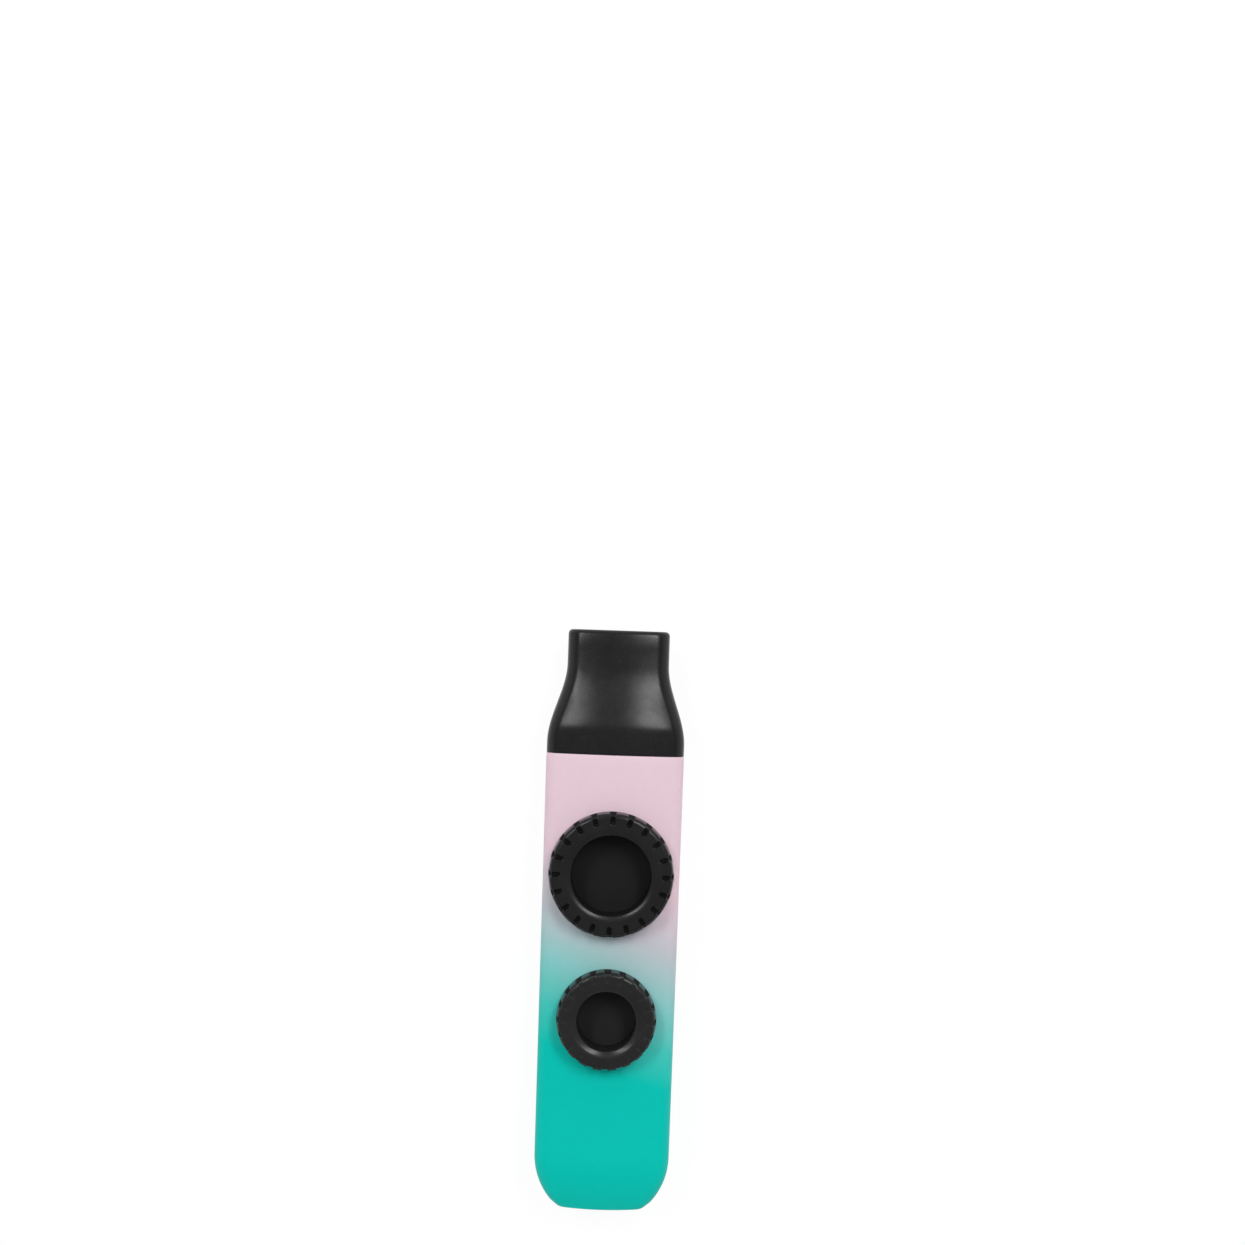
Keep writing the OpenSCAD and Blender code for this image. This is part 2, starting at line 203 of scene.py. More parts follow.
def loft(rows, looped):
    """Points and faces of a skin over closed rows, open at both ends unless it is looped"""
    n = len(rows[0])
    joins = len(rows) if looped else len(rows) - 1
    points = [p for row in rows for p in row]
    faces = []
    for k in range(joins):
        b, c = k * n, (k + 1) % len(rows) * n
        for i in range(n):
            j = (i + 1) % n
            faces.append((b + i, c + i, c + j, b + j))
    return points, faces


def soften(mesh, sharp):
    """Merges points that meet, turns faces outwards, and keeps only edges past an angle crisp"""
    solid = bmesh.new()
    solid.from_mesh(mesh)
    bmesh.ops.remove_doubles(solid, verts=solid.verts, dist=merge)
    bmesh.ops.dissolve_degenerate(solid, edges=solid.edges, dist=merge)
    bmesh.ops.recalc_face_normals(solid, faces=solid.faces)
    for face in solid.faces:
        face.smooth = True
    for edge in solid.edges:
        edge.smooth = len(edge.link_faces) == 2 and edge.calc_face_angle() < math.radians(sharp)
    solid.to_mesh(mesh)
    solid.free()


def new_piece(name, points, faces, finishes, which=None, sharp=crisp_from):
    """A mesh object, with its finishes as material slots and which of them each face takes"""
    mesh = bpy.data.meshes.new(name)
    mesh.from_pydata(points, [], faces)
    for finish in finishes:
        mesh.materials.append(finish)
    if which:
        mesh.polygons.foreach_set("material_index", which)
    soften(mesh, sharp)
    made = bpy.data.objects.new(name, mesh)
    bpy.context.scene.collection.objects.link(made)
    return made


def shell(name, side, finishes):
    """One shell: its skin, closed at the seam and round the sound hole, lacquered outside"""
    rows = shell_rows(side)
    points, faces = loft(rows, False)
    n = len(rows[0])
    arc = len(half_section(body_a, mid_z, crown_r, edge_r))
    outer = arc + 2
    weld = (n - outer - arc) // 2
    which = [0 if i % n < outer or i % n == n - 1 else 1 for i in range(len(faces))]
    for base, painted in ((0, 1), ((len(rows) - 1) * n, 0)):
        inner = base + outer + weld + arc - 1
        for i in range(arc - 1):
            faces.append((base + 1 + i, base + 2 + i, inner - i - 1, inner - i))
            which.append(painted)
        faces.append((base, base + 1, *range(inner, inner + weld + 1)))
        left = base + arc
        faces.append(tuple(range(left, left + weld + 3)))
        which += [painted, painted]
    return new_piece(name, points, faces, finishes, which)


class Socket:
    """An output of a material's nodes, used like a number"""

    def __init__(self, tree, output=None):
        self.tree = tree
        self.output = output

    def node(self, kind, settings, sockets, out=0):
        """Any node: its type, its settings, the values or links of its sockets, and which output"""
        made = self.tree.nodes.new("ShaderNode" + kind)
        for key, value in settings.items():
            if key == "stops":
                elements = made.color_ramp.elements
                elements.remove(elements[1])
                elements[0].position, elements[0].color = value[0]
                for position, colour in value[1:]:
                    elements.new(position).color = colour
            else:
                setattr(made, key, value)
        for key, value in sockets.items():
            if isinstance(value, Socket):
                self.tree.links.new(value.output, made.inputs[key])
            else:
                made.inputs[key].default_value = value
        return Socket(self.tree, made.outputs[out])

    def beside(self, out):
        """Another output of the same node"""
        return Socket(self.tree, self.output.node.outputs[out])

    def maths(self, operation, a, b):
        """A sum of two values, or any other operation on them"""
        return self.node("Math", {"operation": operation}, {0: a, 1: b})

    def __add__(self, other):
        return self.maths("ADD", self, other)

    def __sub__(self, other):
        return self.maths("SUBTRACT", self, other)

    def __rsub__(self, other):
        return self.maths("SUBTRACT", other, self)

    def __mul__(self, other):
        return self.maths("MULTIPLY", self, other)

    __radd__ = __add__
    __rmul__ = __mul__

    def between(self, low, high):
        """0 below low and 1 above high, with a smooth rise between"""
        settings = {"interpolation_type": "SMOOTHSTEP"}
        return self.node("MapRange", settings, {"Value": self, 1: low, 2: high})

    def noise(self, size, detail=3):
        """Noise over this place, with features of a size in metres"""
        return self.node("TexNoise", {}, {"Vector": self, "Scale": 1 / size, "Detail": detail})

    def tint(self, a, b):
        """The colour a where this is 0 and b where it is 1"""
        return self.node("Mix", {"data_type": "RGBA"}, {0: self, 6: a, 7: b}, 2)


def srgb(*parts):
    """A colour as it is seen, from 0 to 255, in the shader's own linear values"""
    linear = [p / 255 / 12.92 if p < 11 else ((p / 255 + 0.055) / 1.055) ** 2.4 for p in parts]
    return (*linear, 1)


def start_finish(name, **fixed):
    """A new material with its fixed shader values, and the place of a point on the piece"""
    material = bpy.data.materials.new(name)
    material.use_nodes = True
    tree = material.node_tree
    shader = tree.nodes["Principled BSDF"]
    for key, value in fixed.items():
        shader.inputs[key.replace("_", " ")].default_value = value
    place = Socket(tree).node("TexCoord", {}, {}, "Object")
    return material, shader, place


def feed(shader, sockets, relief, depth):
    """Links what varies over a surface to its shader, and its relief as a bump of some depth"""
    for key, value in sockets.items():
        value.tree.links.new(value.output, shader.inputs[key])
    bump = relief.node("Bump", {}, {"Strength": 1.0, "Distance": depth, "Height": relief})
    bump.tree.links.new(bump.output, shader.inputs["Normal"])


def lacquer():
    """Satin lacquer: pink at the mouthpiece, sprayed over to teal along a slanting, cloudy border"""
    material, shader, place = start_finish("shell_finish", Specular_IOR_Level=0.08)
    teal, green, aqua = srgb(0, 190, 176), srgb(66, 193, 183), srgb(134, 197, 195)
    lilac, pink = srgb(188, 191, 198), srgb(223, 197, 208)
    fade = (
        (-33.5 * mm, teal), (-24.5 * mm, green), (-14 * mm, aqua), (-2 * mm, lilac), (10.9 * mm, pink),
    )
    slant = 0.36
    cloud_size, drift = 24 * mm, 5 * mm
    mist_size, mist = 0.25 * mm, 1.2 * mm
    fleck_size, fleck_share, fleck_tint = 1.5 * mm, 0.05, srgb(205, 205, 208)
    satin = 0.42
    handled_size, handled_polish = 9 * mm, 0.06
    uneven_size, uneven = 0.6 * mm, 0.04
    peel_size, peel_depth = 0.9 * mm, 0.004 * mm
    x = place.node("SeparateXYZ", {}, {0: place})
    y = x.beside(1)
    cloud = place.noise(cloud_size, detail=2) - 0.5
    speck = place.noise(mist_size, detail=1) - 0.5
    along = y + x * slant + cloud * drift + speck * mist
    first, last = fade[0][0], fade[-1][0]
    share = along.node("MapRange", {}, {"Value": along, 1: first, 2: last})
    stops = [((at - first) / (last - first), colour) for at, colour in fade]
    sprayed = share.node("ValToRGB", {"stops": stops}, {0: share})
    fleck = place.noise(fleck_size, detail=4).between(0.35, 0.75)
    shade = sprayed.node("Mix", {"data_type": "RGBA", "blend_type": "MULTIPLY"},
                         {0: fleck * fleck_share, 6: sprayed, 7: fleck_tint}, 2)
    handled = place.noise(handled_size).between(0.3, 0.8)
    rough = satin - handled * handled_polish + place.noise(uneven_size, detail=2) * uneven
    peel = place.noise(peel_size, detail=2)
    feed(shader, {"Base Color": shade, "Roughness": rough}, peel, peel_depth)
    return material


def black_plastic(name, tone, gloss, grain, depth):
    """Satin black moulding: fine spark-eroded grain, faint flow marks and finger polish"""
    material, shader, place = start_finish(name, Specular_IOR_Level=0.26)
    flow_size, darker, lighter = 7 * mm, 2, 3
    polish_size, polish_depth = 3 * mm, 0.04
    flow = place.noise(flow_size).between(0.25, 0.8)
    dark, light = tone - darker, tone + lighter
    colour = flow.tint(srgb(dark, dark, dark), srgb(light, light, light + 1))
    polish = place.noise(polish_size, detail=4).between(0.35, 0.75)
    rough = gloss + polish_depth / 2 - polish * polish_depth
    feed(shader, {"Base Color": colour, "Roughness": rough}, place.noise(grain, detail=2), depth)
    return material


shell_finish = lacquer()
bare_plastic = black_plastic("bare_plastic", tone=22, gloss=0.5, grain=0.3 * mm, depth=0.004 * mm)
back = shell("back_shell_moulding", -1, (shell_finish, bare_plastic))
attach(back, "root")
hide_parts("back_shell")


# Front shell: the upper half of the body, of the same plastic and lacquer. Two threaded wells are
# moulded into its wall, each with a low collar outside, and a ledge below that holds a membrane up.
thread_pitch = 1.4 * mm
thread_depth = 0.44 * mm
thread_fade = 0.3 * mm
thread_gap = 0.08 * mm
thread_steep = 0.8
thread_step = 0.1 * mm
lead_over = 0.1 * mm
ring_gap = 0.1 * mm
well_wall = 1.5 * mm
sleeve_wall = 1.8 * mm
ledge_t = 1.2 * mm
ledge_in = 0.5 * mm
collar_ease = 0.2 * mm
round_steps = 6
well_turns = 256


def smooth(x):
    """0 up to 0 and 1 from 1 on, with a smooth rise between"""
    c = min(max(x, 0), 1)
    return c * c * (3 - 2 * c)


def turret(size):
    """The measures of one turret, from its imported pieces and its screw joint"""
    joint = next(j for j in frame["joints"] if j["name"] == size + "_cap_turn")
    cap_low, cap_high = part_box(size + "_cap")
    film_low, film_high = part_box(size + "_film")
    washer_low, washer_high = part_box(size + "_slip_washer")
    well_r = film_high.x + ring_gap
    sleeve_r = well_r - thread_gap
    return {
        "name": size, "y": joint["pos_m"][1], "seat_z": joint["pos_m"][2],
        "ring_r": film_high.x, "well_r": well_r, "sleeve_r": sleeve_r,
        "open_r": sleeve_r - sleeve_wall, "cap_r": cap_high.x,
        "top": cap_high.z, "sleeve_low": cap_low.z, "ledge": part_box(size + "_seat")[0].z,
        "film_low": film_low.z, "film_top": film_high.z, "hoop_top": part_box(size + "_hoop")[1].z,
        "washer_low": washer_low.z, "washer_top": washer_high.z,
    }


def eased(corners):
    """A closed outline of (radius, z) points from corners of (radius, z, rounding, longest step)"""
    outline = []
    count = len(corners)
    for k, (r, z, ease, step) in enumerate(corners):
        here = Vector((r, z))
        before, after = Vector(corners[k - 1][:2]), Vector(corners[(k + 1) % count][:2])
        arc = [here]
        if ease:
            to_before, to_after = (before - here).normalized(), (after - here).normalized()
            opening = to_before.angle(to_after)
            centre = here + (to_before + to_after).normalized() * ease / math.sin(opening / 2)
            start = here + to_before * ease / math.tan(opening / 2) - centre
            end = here + to_after * ease / math.tan(opening / 2) - centre
            shares = [i / round_steps for i in range(round_steps + 1)]
            arc = [centre + start.slerp(end, share) * start.length for share in shares]
        outline.append((arc, step))
    points = []
    for k, (arc, step) in enumerate(outline):
        points += arc
        away = outline[(k + 1) % count][0][0]
        pieces = max(1, math.ceil((away - arc[-1]).length / step)) if step else 1
        points += [arc[-1].lerp(away, i / pieces) for i in range(1, pieces)]
    return points


def as_drawn(r, z, turn):
    """The shape that leaves an outline as it is"""
    return r, z


def turned(name, t, outline, finishes, angles_at, shape=as_drawn, sharp=crisp_from):
    """A solid turned from an outline about a turret's axis, its points moved by a shape"""
    rows = []
    for r, z in outline:
        row = []
        for turn in angles_at(r):
            out, up = shape(r, z, turn)
            row.append((out * math.cos(turn), t["y"] + out * math.sin(turn), up))
        rows.append(row)
    points, faces = loft(rows, True)
    return new_piece(name, points, faces, finishes, sharp=sharp)


def even(count):
    """Angles all round in equal steps, whatever the radius"""
    turns = [2 * math.pi * i / count for i in range(count)]
    return lambda r: turns


def thread(z, turn):
    """Height of a right-hand thread's ridge above its root at a place on it"""
    wave = math.cos(2 * math.pi * (z / thread_pitch) - turn)
    return thread_depth * smooth(0.5 + thread_steep * wave)


def carve(target, tool, operation):
    """Adds or cuts a solid, and leaves the result in the target's own mesh"""
    change = target.modifiers.new(operation, "BOOLEAN")
    change.operation = operation
    change.solver = "EXACT"
    change.object = tool
    bpy.context.view_layer.update()
    changed = target.evaluated_get(bpy.context.evaluated_depsgraph_get())
    result = bpy.data.meshes.new_from_object(changed)
    target.modifiers.clear()
    target.data = result
    bpy.data.objects.remove(tool)


def add_well(target, t):
    """Adds a turret's well to the front shell, and cuts its stepped and threaded bore"""
    finishes, turns = (shell_finish, bare_plastic), even(well_turns)
    low, high, out = t["ledge"] - ledge_t, t["seat_z"], t["well_r"] + well_wall
    corners = [(0, low, 0, 0), (out, low, 0, 0), (out, high, collar_ease, 0), (0, high, 0, 0)]
    carve(target, turned("well", t, eased(corners), finishes, turns), "UNION")
    over, bore, inner = high + wall, t["well_r"], t["open_r"] - ledge_in
    lead = thread_depth + lead_over

    def tapped(r, z, turn):
        cut = smooth((z - t["washer_low"]) / thread_fade) if abs(r - bore) < merge else 0
        mouth = max(0, min(lead, z - high + lead)) if cut else 0
        return r + max(thread(z, turn) * cut, mouth), z

    corners = [
        (0, low - wall, 0, 0), (inner, low - wall, 0, 0), (inner, t["ledge"], 0, 0),
        (bore, t["ledge"], 0, thread_step), (bore, over, 0, 0), (0, over, 0, 0),
    ]
    tool = turned("bore", t, eased(corners), finishes, turns, tapped)
    tool.data.polygons.foreach_set("material_index", [1] * len(tool.data.polygons))
    carve(target, tool, "DIFFERENCE")


turrets = [turret("large"), turret("small")]
front = shell("front_shell_moulding", 1, (shell_finish, bare_plastic))
for t in turrets:
    add_well(front, t)
soften(front.data, sharp=35)
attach(front, "root")
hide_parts("front_shell")


# Mouthpiece: a hollow, flared moulding of satin black plastic. A flat oval tip carries the blow
# slot, and a spigot behind the shoulder is pushed into the mouth of the body up to the seam.
mouth_low, mouth_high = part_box("mouthpiece")
tip_y = mouth_high.y
mouth_len = tip_y - seam_y
mouth_end = seam_y - mouth_low.y
proud = mouth_high.x - body_a
tip_a = 11.85 * mm
tip_h = 4.8 * mm
flare_from = 8 * mm
flare_to = 26.2 * mm
rise_from = 8 * mm
rise_to = 23.3 * mm
rise_late = 1.3
wedge = 0.35
nose_h = 0.35 * mm
nose_run = 4 * mm
flare_crown = 7 * mm
lip_round = 1 * mm
slot_round = 0.5 * mm
shoulder_round = 0.15 * mm
tip_wall = 1.9 * mm
spigot_wall = 1.5 * mm
spigot_gap = 0.06 * mm
spigot_round = 0.5 * mm
lip_rows = 8
flare_rows = 44


def flare(d):
    """Share of the flare in width that is done at a distance from the tip"""
    return smooth((d - flare_from) / (flare_to - flare_from))


def rise(d):
    """The same in height: a slight wedge from the tip on, and a flare that sets in late"""
    late = max(0, (d - rise_from) / (rise_to - rise_from)) ** rise_late
    return mix(smooth(late), smooth(d / rise_to), wedge)


def section(y, a, h_front, h_back, r_c, r_e):
    """A whole section at y, front half first"""
    front_half = [(x, y, mid_z + z) for x, z in half_section(a, h_front, r_c, r_e)]
    return front_half + [(-x, y, max(0, mid_z - z)) for x, z in half_section(a, h_back, r_c, r_e)]


def mouth_section(d, off):
    """Section of the mouthpiece at a distance from its tip, drawn in by off all round"""
    full_a, full_h = body_a + proud, mid_z + proud
    a = mix(tip_a, full_a, flare(d)) - off
    nosed = tip_h + nose_h * (1 - max(0, 1 - d / nose_run) ** 2)
    h_front = mix(nosed, full_h, rise(d)) - off
    h_back = mix(nosed, full_h + rest_flat, rise(d)) - off
    swell = 4 * flare(d) * (1 - flare(d))
    crown = crown_r - swell * flare_crown - off
    return section(tip_y - d, a, h_front, h_back, crown, max(edge_r - off, bore_edge_r))


def spigot_section(y, off):
    """Section of the spigot, which follows the inside of the body"""
    inn = wall + spigot_gap + off
    a = body_a - draw_at(y) - inn
    h_front, h_back = mid_z - inn, mid_z + rest_flat - inn
    return section(y, a, h_front, h_back, crown_r - inn, max(edge_r - inn, bore_edge_r))


def rounding(r, steps):
    """Distance from the end, and inset, at each step round the edge of radius r"""
    turns = [math.pi / 2 * i / steps for i in range(steps + 1)]
    return [(r * (1 - math.cos(turn)), r * (1 - math.sin(turn))) for turn in turns]


def mouthpiece(finish):
    """The moulding: rows outside from the tip to the spigot's end, and back inside to the slot"""
    bore_wall = wall + spigot_gap + spigot_wall + proud
    end_y = seam_y - mouth_end
    rows = [mouth_section(d, off) for d, off in rounding(lip_round, lip_rows)]
    for i in range(1, flare_rows + 1):
        rows.append(mouth_section(mix(lip_round, mouth_len - shoulder_round, i / flare_rows), 0))
    for d, off in reversed(rounding(shoulder_round, ease_rows)[:-1]):
        rows.append(mouth_section(mouth_len - d, off))
    rows.append(spigot_section(seam_y, 0))
    rows += [spigot_section(end_y + d, off) for d, off in reversed(rounding(spigot_round, ease_rows))]
    inner = [mouth_section(d, tip_wall - off) for d, off in rounding(slot_round, ease_rows)]
    for i in range(1, flare_rows + 1):
        d = mix(slot_round, mouth_len, i / flare_rows)
        inner.append(mouth_section(d, mix(tip_wall, bore_wall, flare(d))))
    inner.append(spigot_section(end_y, spigot_wall))
    points, faces = loft(rows + inner[::-1], True)
    return new_piece("mouthpiece_moulding", points, faces, (finish,), sharp=50)


mouth_plastic = black_plastic(
    "mouthpiece_plastic", tone=19, gloss=0.26, grain=0.22 * mm, depth=0.002 * mm)
mouth = mouthpiece(mouth_plastic)
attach(mouth, "root")
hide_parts("mouthpiece")


# Seats: soft rubber rings that lie on the ledges of the wells. Each one bears its membrane evenly
# and seals it round the edge, and nothing fixes it but the screw cap above.
seat_ease = 0.15 * mm
ring_turns = 160


def seat_rubber():
    """Matt rubber with a bloom of dust"""
    material, shader, place = start_finish("seat_rubber", Specular_IOR_Level=0.3)
    bloom_size, worn, bloomed = 1.2 * mm, 0.75, 0.1
    grain_size, grain_depth = 0.2 * mm, 0.006 * mm
    bloom = place.noise(bloom_size, detail=4).between(0.4, 0.8)
    colour = bloom.tint(srgb(44, 44, 47), srgb(58, 58, 61))
    rough = worn + bloom * bloomed
    grain = place.noise(grain_size, detail=2)
    feed(shader, {"Base Color": colour, "Roughness": rough}, grain, grain_depth)
    return material


def flat_ring(name, t, inner, low, top, ease, finish):
    """A ring of square section with eased edges, from an inner radius out to the well"""
    out = t["ring_r"]
    corners = [(inner, low, ease, 0), (out, low, ease, 0), (out, top, ease, 0), (inner, top, ease, 0)]
    return turned(name, t, eased(corners), (finish,), even(ring_turns))


rubber = seat_rubber()
for t in turrets:
    name = t["name"] + "_seat_ring"
    ring = flat_ring(name, t, t["open_r"], t["ledge"], t["film_low"], seat_ease, rubber)
    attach(ring, "root")
    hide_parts(t["name"] + "_seat")


# Membranes: a thin dark film, stretched and bonded under a stiff moulded hoop. The film draws
# faint radial creases where it leaves the hoop, and it is the dark floor seen through each cap.
hoop_step = 0.3 * mm
hoop_ease = 0.12 * mm
crease_count = 52
crease_h = 0.02 * mm
crease_run = 2.2 * mm
film_rings = 14
film_turns = 312
# Both membranes are of one film. The small film's lighter tone is painted light: it brightens the
# floor seen through the small cap, and its stronger sheen does the same.
film_tone_and_painted_light = {"large": {"tone": 24, "sheen": 0.14}, "small": {"tone": 30, "sheen": 0.18}}


def film_finish(size, tone, sheen):
    """Matt film, its tone and roughness varying together in soft clouds"""
    material, shader, place = start_finish(size + "_film", Specular_IOR_Level=sheen)
    cloud_size, cloud_tone = 5 * mm, 2
    slack, tight = 0.55, 0.1
    grain_size, grain_depth = 0.15 * mm, 0.003 * mm
    cloud = place.noise(cloud_size).between(0.3, 0.8)
    dark, light = tone - cloud_tone, tone + cloud_tone
    colour = cloud.tint(srgb(dark, dark, dark + 1), srgb(light, light, light + 1))
    rough = slack + cloud * tight
    grain = place.noise(grain_size, detail=2)
    feed(shader, {"Base Color": colour, "Roughness": rough}, grain, grain_depth)
    return material


def film(t, finish):
    """The film with both its faces, its upper and lower skins creased alike"""
    hoop_r = t["open_r"] + hoop_step

    def creased(r, z, turn):
        near = smooth((r - hoop_r + crease_run) / crease_run) * smooth((hoop_r - r) / hoop_step)
        return r, z - crease_h * near * (0.5 + 0.5 * math.sin(crease_count * turn))

    low, top, out = t["film_low"], t["film_top"], t["ring_r"]
    outline = [Vector((mix(0, out, i / film_rings), low)) for i in range(film_rings + 1)]
    outline += [Vector((mix(0, out, i / film_rings), top)) for i in range(film_rings, -1, -1)]
    name = t["name"] + "_film_sheet"
    return turned(name, t, outline, (finish,), even(film_turns), creased, sharp=60)


hoop_plastic = black_plastic("hoop_plastic", tone=20, gloss=0.5, grain=0.2 * mm, depth=0.003 * mm)
for t in turrets:
    # the small film's lighter tone here is painted light on the floor under its cap
    stretched = film(t, film_finish(t["name"], **film_tone_and_painted_light[t["name"]]))
    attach(stretched, "root")
    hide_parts(t["name"] + "_film")
    name, inner = t["name"] + "_hoop_ring", t["open_r"] + hoop_step
    hoop = flat_ring(name, t, inner, t["film_top"], t["hoop_top"], hoop_ease, hoop_plastic)
    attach(hoop, "root")
    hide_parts(t["name"] + "_hoop")


# Slip washers: black plastic rings whose hubs snap up into the caps. They press the hoops down and
# stay still while the caps turn, so that the membranes aren't twisted.
hub_wall = 0.7 * mm
washer_t = 0.9 * mm
bead_h = 0.34 * mm
bead_out = 0.15 * mm
washer_ease = 0.12 * mm
cap_plastic = black_plastic("cap_plastic", tone=21, gloss=0.25, grain=0.25 * mm, depth=0.003 * mm)
for t in turrets:
    low, top, hub = t["washer_low"], t["washer_top"], t["open_r"] + hub_wall
    bead = top - bead_h
    corners = [
        (t["open_r"], low, washer_ease, 0), (t["ring_r"], low, washer_ease, 0),
        (t["ring_r"], low + washer_t, washer_ease, 0), (hub, low + washer_t, 0, 0), (hub, bead, 0, 0),
        (hub + bead_out, bead, bead_out / 3, 0), (hub + bead_out, top, washer_ease, 0),
        (t["open_r"], top, washer_ease, 0),
    ]
    name = t["name"] + "_slip_washer_ring"
    washer = turned(name, t, eased(corners), (cap_plastic,), even(ring_turns))
    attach(washer, t["name"] + "_washer_body")
    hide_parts(t["name"] + "_slip_washer")


# Screw caps: black mouldings with a broad face round an open middle, and a ring of slots that run
# on down the side as flared notches. A threaded sleeve below screws them into the wells. The small
# one's plastic is a shade paler.
slots = 20
slot_half = 0.6 * mm
slot_rise = 0.2
slot_form = 1.3
notch_deep = 0.45 * mm
notch_flare = 0.4
cap_taper = 0.3 * mm
rim_h = 0.5 * mm
rim_soft = 0.05 * mm
cap_round = 1.1 * mm
cap_chamfer = 0.3 * mm
lip_brow_r = 3.2 * mm
lip_edge_r = 0.4 * mm
slip_gap = 0.06 * mm
hub_h = 1.3 * mm
groove_play = 3 * slip_gap
counter_ease = 0.08 * mm
sleeve_ease = 0.1 * mm
block_lines = 4
face_step = 0.13 * mm
side_step = 4 * face_step
slot_lines = [x * mm for x in (0, 0.12, 0.24, 0.36, 0.46, 0.54, 0.6, 0.66, 0.78, 0.84, 0.9, 1.02)]
cap_own = {
    "large": {
        "lip_run": 1 * mm, "lip_drop": 0.4 * mm,
        "slot_in": 11.6 * mm, "slot_out": 13.6 * mm, "slot_deep": 1 * mm,
    },
    "small": {
        "lip_run": 1.4 * mm, "lip_drop": 0.6 * mm,
        "slot_in": 8.8 * mm, "slot_out": 10.6 * mm, "slot_deep": 0.1 * mm,
    },
}


def cap_outline(t, own):
    """Outline of a cap: counterbore with its groove, threaded sleeve, rim, side, face and opening"""
    counter_r = t["open_r"] + hub_wall + slip_gap
    counter_top = t["sleeve_low"] + hub_h
    groove_low = counter_top - bead_h - groove_play
    rim = t["seat_z"] + rim_h
    return eased([
        (t["open_r"], counter_top, counter_ease, 0), (counter_r + bead_out, counter_top, 0, 0),
        (counter_r + bead_out, groove_low, 0, 0), (counter_r, groove_low, 0, 0),
        (counter_r, t["sleeve_low"], sleeve_ease, 0), (t["sleeve_r"], t["sleeve_low"], 0, thread_step),
        (t["sleeve_r"], t["seat_z"], 0, 0), (t["cap_r"] - cap_chamfer, t["seat_z"], 0, 0),
        (t["cap_r"], t["seat_z"] + cap_chamfer, 0, 0), (t["cap_r"], rim - rim_soft, 0, 0),
        (t["cap_r"], rim + rim_soft, 0, side_step),
        (t["cap_r"] - cap_taper, t["top"], cap_round, face_step),
        (t["open_r"] + own["lip_run"], t["top"], lip_brow_r, 0),
        (t["open_r"], t["top"] - own["lip_drop"], lip_edge_r, 0),
    ])


def cap(t, own, finish):
    """One cap, with mesh lines along both sides of every slot"""
    pitch = 2 * math.pi / slots
    sides = [math.pi / 2 + k * pitch for k in range(slots)]

    def angles_at(r):
        near = [math.asin(x / max(r, own["slot_in"])) for x in slot_lines]
        half = near + [mix(near[-1], pitch / 2, i / block_lines) for i in range(1, block_lines + 1)]
        across = half + [pitch - a for a in reversed(half[1:-1])]
        return [side + a for side in sides for a in across]

    def notched(r, z, turn):
        part = (turn - math.pi / 2) % pitch
        off = min(part, pitch - part)
        if abs(r - t["sleeve_r"]) < merge and z < t["seat_z"] - merge:
            start, end = (z - t["sleeve_low"]) / thread_fade, (t["seat_z"] - z) / thread_fade
            fade = smooth(start) * smooth(end)
            return r + thread(z, turn) * fade, z
        across, along = r * math.sin(off), r * math.cos(off)
        inside = slot_half - math.hypot(max(0, own["slot_in"] + slot_half - along), across)
        climb = min(max(0, along - own["slot_in"]) / (own["slot_out"] - own["slot_in"]), 1)
        bottom = t["top"] - own["slot_deep"] * (1 - climb * slot_rise)
        if z > bottom and inside > 0:
            z = mix(z, bottom, (1 - (1 - inside / slot_half) ** slot_form) ** (1 / slot_form))
        notch = t["cap_r"] - cap_taper - notch_deep + max(0, across - slot_half) / notch_flare
        return mix(r, min(r, notch), smooth(0.5 + (z - t["seat_z"] - rim_h) / (2 * rim_soft))), z

    name = t["name"] + "_cap_moulding"
    return turned(name, t, cap_outline(t, own), (finish,), angles_at, notched, sharp=55)


paler_plastic = black_plastic(
    "small_cap_plastic", tone=29, gloss=0.25, grain=0.25 * mm, depth=0.003 * mm)
for t, finish in zip(turrets, (cap_plastic, paler_plastic)):
    screw_cap = cap(t, cap_own[t["name"]], finish)
    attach(screw_cap, t["name"] + "_cap_body")
    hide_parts(t["name"] + "_cap")


# Studio: a white floor that curves up all round, and a camera straight above the mouthpiece. Two
# long strip lamps hang overhead, to its left and right, and run on past the tip under a dim sky.
floor_r = 0.9
cove_r = 0.35
cove_top = 0.6
cove_steps = 12
floor_turns = 96
floor_gap = 0.02 * mm
floor_white = 0.86
floor_glow = 0.92
floor_light = 1.02
camera_place = Vector((0.64, 69.025, 500)) * mm
camera_turn = 1.955
camera_lens = 60.59
camera_sensor = 36
sky_strength = 0.46
lamp_y, lamp_z, lamp_l = 0.8475, 1.5, 0.855
lamps = {
    "left_lamp": {"x": -0.705, "width": 0.26, "power": 11.2},
    "right_lamp": {"x": 0.54, "width": 0.36, "power": 14.4},
}


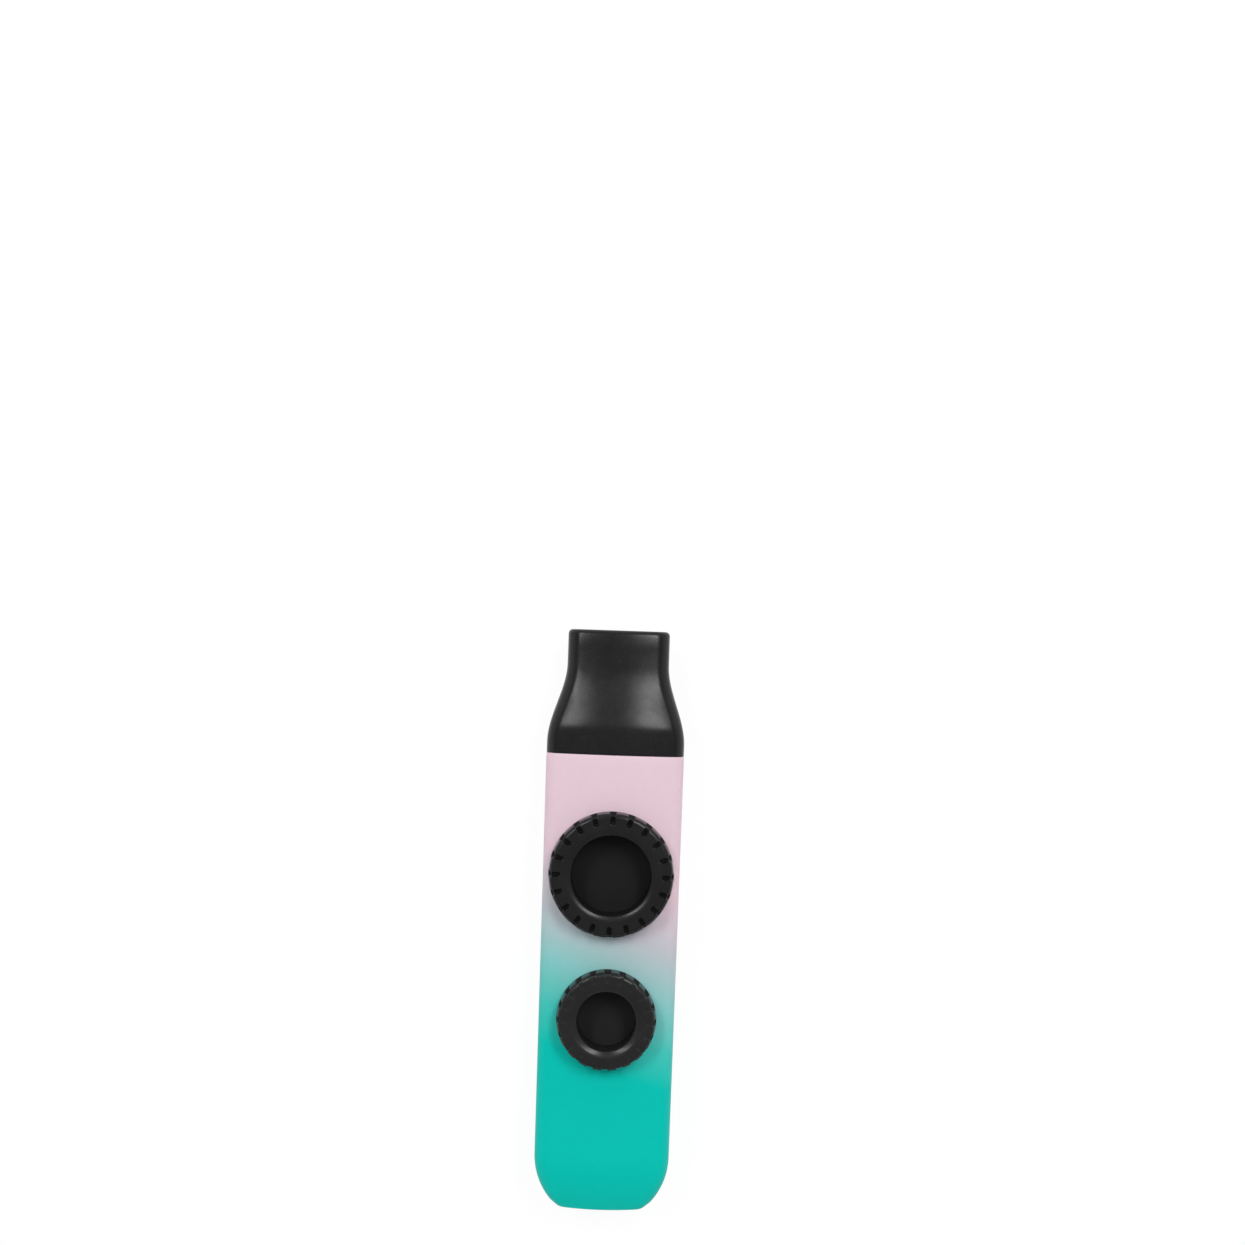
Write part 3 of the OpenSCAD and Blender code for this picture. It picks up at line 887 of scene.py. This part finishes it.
def floor_finish():
    """White to the camera and in reflections, but still darkened where the object shades it"""
    material = bpy.data.materials.new("floor")
    material.use_nodes = True
    tree = material.node_tree
    tree.nodes.clear()
    root = Socket(tree)
    ray = root.node("LightPath", {}, {}, "Is Camera Ray")
    seen = ray.maths("MAXIMUM", ray, ray.beside("Is Glossy Ray"))
    seen = seen.maths("MAXIMUM", seen, ray.beside("Is Transmission Ray"))
    white = (floor_white, floor_white, floor_white, 1)
    paint = root.node("BsdfDiffuse", {}, {"Color": white})
    glow = root.node("Emission", {}, {"Color": (1, 1, 1, 1), "Strength": floor_light})
    both = root.node("MixShader", {}, {0: seen * floor_glow, 1: paint, 2: glow})
    out = tree.nodes.new("ShaderNodeOutputMaterial")
    tree.links.new(both.output, out.inputs["Surface"])
    return material


def floor():
    """A round floor with a cove up to its rim, just under what lies on it"""
    profile = [(0, -floor_gap)]
    for i in range(cove_steps + 1):
        turn = math.pi / 2 * i / cove_steps
        profile.append((floor_r + cove_r * math.sin(turn), cove_r * (1 - math.cos(turn)) - floor_gap))
    profile.append((floor_r + cove_r, cove_top))
    turns = even(floor_turns)(floor_r)
    rows = [[(r * math.cos(turn), r * math.sin(turn), z) for turn in turns] for r, z in profile]
    points, faces = loft(rows, False)
    return new_piece("floor", points, faces, (floor_finish(),), sharp=60)


floor()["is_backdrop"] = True
camera = bpy.data.objects.new("camera", bpy.data.cameras.new("camera"))
camera.location = camera_place
camera.rotation_euler = (0, 0, math.radians(camera_turn))
camera.data.sensor_width = camera_sensor
camera.data.lens = camera_lens
bpy.context.scene.collection.objects.link(camera)
bpy.context.scene.camera = camera

for name, own in lamps.items():
    lamp = bpy.data.objects.new(name, bpy.data.lights.new(name, "AREA"))
    lamp.data.shape = "RECTANGLE"
    lamp.data.size, lamp.data.size_y = own["width"], lamp_l
    lamp.data.energy = own["power"]
    lamp.location = (own["x"], lamp_y, lamp_z)
    bpy.context.scene.collection.objects.link(lamp)

world = bpy.data.worlds.new("sky")
world.use_nodes = True
sky = world.node_tree.nodes["Background"].inputs
sky["Color"].default_value = (1, 1, 1, 1)
sky["Strength"].default_value = sky_strength
bpy.context.scene.world = world
bpy.context.scene.view_settings.view_transform = "Standard"

low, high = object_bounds()
